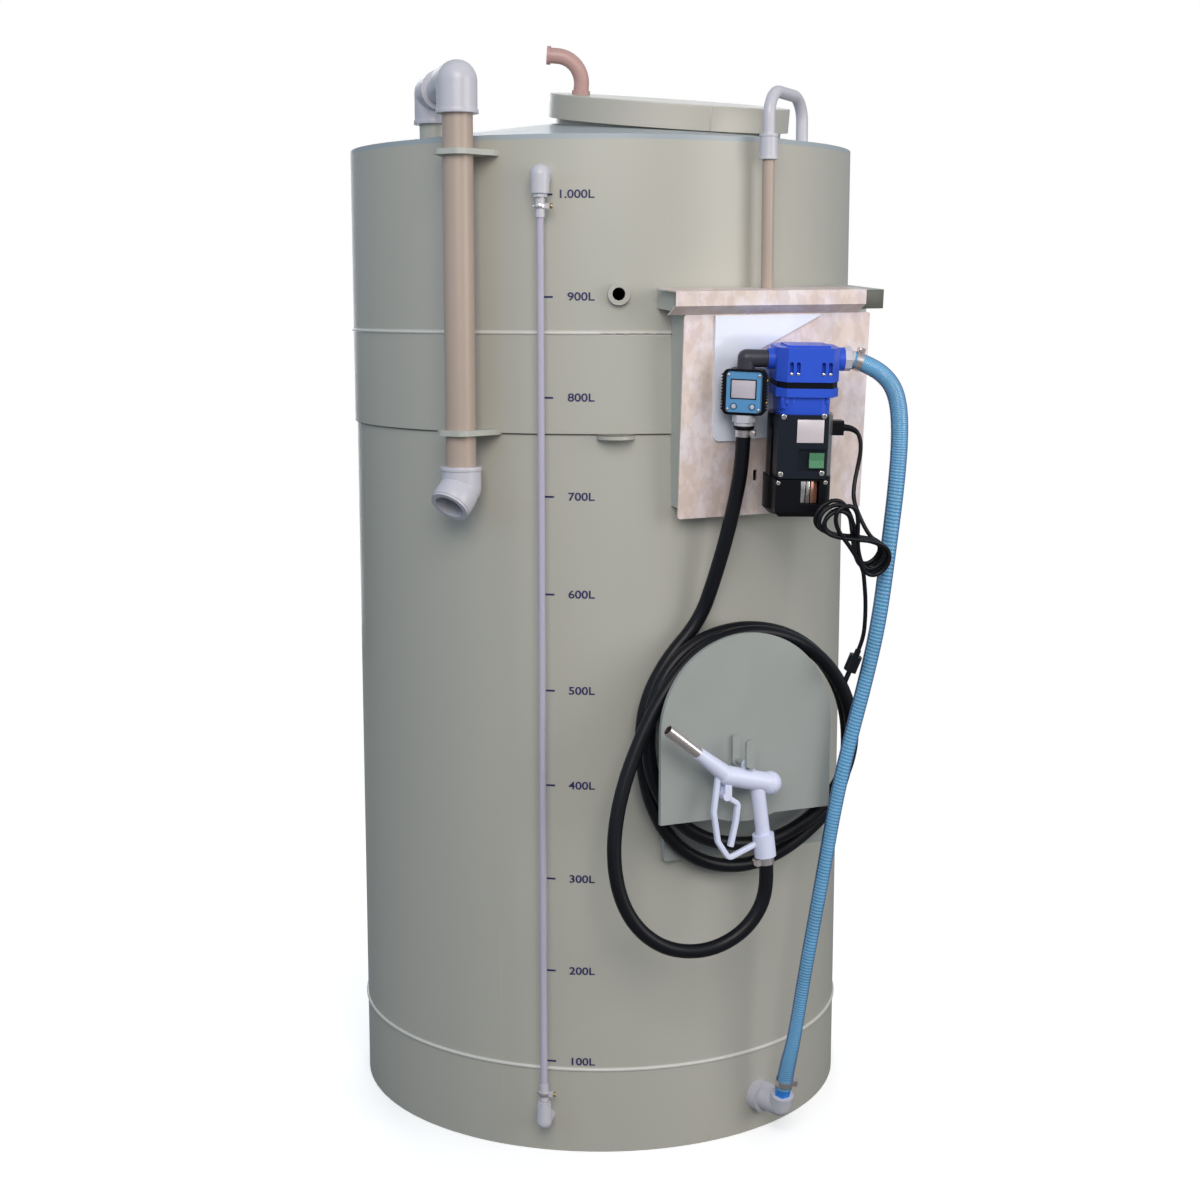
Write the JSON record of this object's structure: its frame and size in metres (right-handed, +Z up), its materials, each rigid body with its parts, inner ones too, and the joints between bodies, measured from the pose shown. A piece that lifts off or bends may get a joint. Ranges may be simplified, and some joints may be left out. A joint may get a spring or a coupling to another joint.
{
  "type": "diesel exhaust fluid tank",
  "caption": "Upright plastic storage tank for diesel exhaust fluid with a conical roof, level gauge, fill pipe, electric pump, flow meter, hoses, nozzle and hose hanger.",
  "frame": {"origin": "middle of the tank's base, on the floor", "axes": "+Z up the tank's axis, the front with the level gauge towards -Y, +X to the right seen from the front"},
  "size_m": [0.9588, 1.0748, 1.9027],
  "materials": {
    "tank_plastic": "satin, grey-green",
    "plate_plastic": "satin, pale green-grey",
    "pipe_plastic": "satin, grey-brown",
    "vent_plastic": "satin, reddish brown",
    "fitting_plastic": "satin, off-white",
    "clear_tube": "clear, slightly milky",
    "steel": "brushed",
    "bracket_paint": "satin, pale violet grey",
    "pump_paint": "gloss blue",
    "black_plastic": "satin black",
    "motor_paint": "gloss black",
    "meter_plastic": "gloss light blue",
    "rocker_plastic": "gloss green",
    "black_rubber": "satin black",
    "blue_hose": "translucent blue",
    "nozzle_plastic": "satin white"
  },
  "bodies": {
    "tank": {"back_plate": "steel", "cord_gland": "black_plastic", "cord_hank": "black_rubber", "cord_tail": "black_rubber", "delivery_clamp": "steel", "delivery_hose": "black_rubber", "fill_mouth_elbow": "fitting_plastic", "fill_pipe": "pipe_plastic", "fill_roof_elbow": "fitting_plastic", "fill_roof_stub": "tank_plastic", "fill_top_elbow": "fitting_plastic", "gauge_bottom_elbow": "fitting_plastic", "gauge_nut_lower": "fitting_plastic", "gauge_nut_upper": "fitting_plastic", "gauge_top_elbow": "fitting_plastic", "gauge_tube": "clear_tube", "hanger_back": "plate_plastic", "hanger_front": "plate_plastic", "lower_shell": "tank_plastic", "manhole_neck": "tank_plastic", "meter_adapter": "fitting_plastic", "meter_body": "black_plastic", "meter_face": "meter_plastic", "motor_base": "black_plastic", "motor_cover": "black_plastic", "motor_tube": "motor_paint", "nozzle_body": "nozzle_plastic", "nozzle_clamp": "steel", "nozzle_spout": "steel", "outlet_barb": "blue_hose", "outlet_bend": "fitting_plastic", "outlet_clamp": "steel", "outlet_elbow": "black_plastic", "overflow_stub": "tank_plastic", "panel_box": "plate_plastic", "pipe_clip_lower": "plate_plastic", "pipe_clip_upper": "plate_plastic", "power_cord": "black_rubber", "power_plug": "black_rubber", "pump_bracket": "bracket_paint", "pump_flange": "pump_paint", "pump_gasket": "black_plastic", "pump_head": "pump_paint", "rain_hood": "steel", "riser_bend": "fitting_plastic", "riser_pipe": "pipe_plastic", "roof_bend": "fitting_plastic", "roof_cone": "tank_plastic", "seam_lug": "tank_plastic", "suction_clamp": "steel", "suction_hose": "blue_hose", "suction_nipple": "fitting_plastic", "tank_floor": "tank_plastic", "upper_shell": "tank_plastic"},
    "lid": {"manhole_lid": "plate_plastic", "lid_vent": "vent_plastic"},
    "rocker": {"switch_rocker": "rocker_plastic"},
    "trigger": {"nozzle_trigger": "nozzle_plastic"}
  },
  "joints": [
    {"name": "lid_lift", "type": "slide", "parent": "tank", "child": "lid", "axis": [0.0658, -0.1187, 0.9907], "range_m": [0, 0.3]},
    {"name": "rocker_tilt", "type": "hinge", "parent": "tank", "child": "rocker", "pos_m": [0.34596, -0.52436, 1.20722], "axis": [0.9944, 0.1047, -0.0158], "range_deg": [-6, 6]},
    {"name": "trigger_squeeze", "type": "hinge", "parent": "tank", "child": "trigger", "pos_m": [0.20202, -0.56684, 0.666], "axis": [0.4067, -0.9135, 0], "range_deg": [0, 12], "stiffness_Nm_per_rad": 0.4, "springref_deg": -11.46}
  ]
}
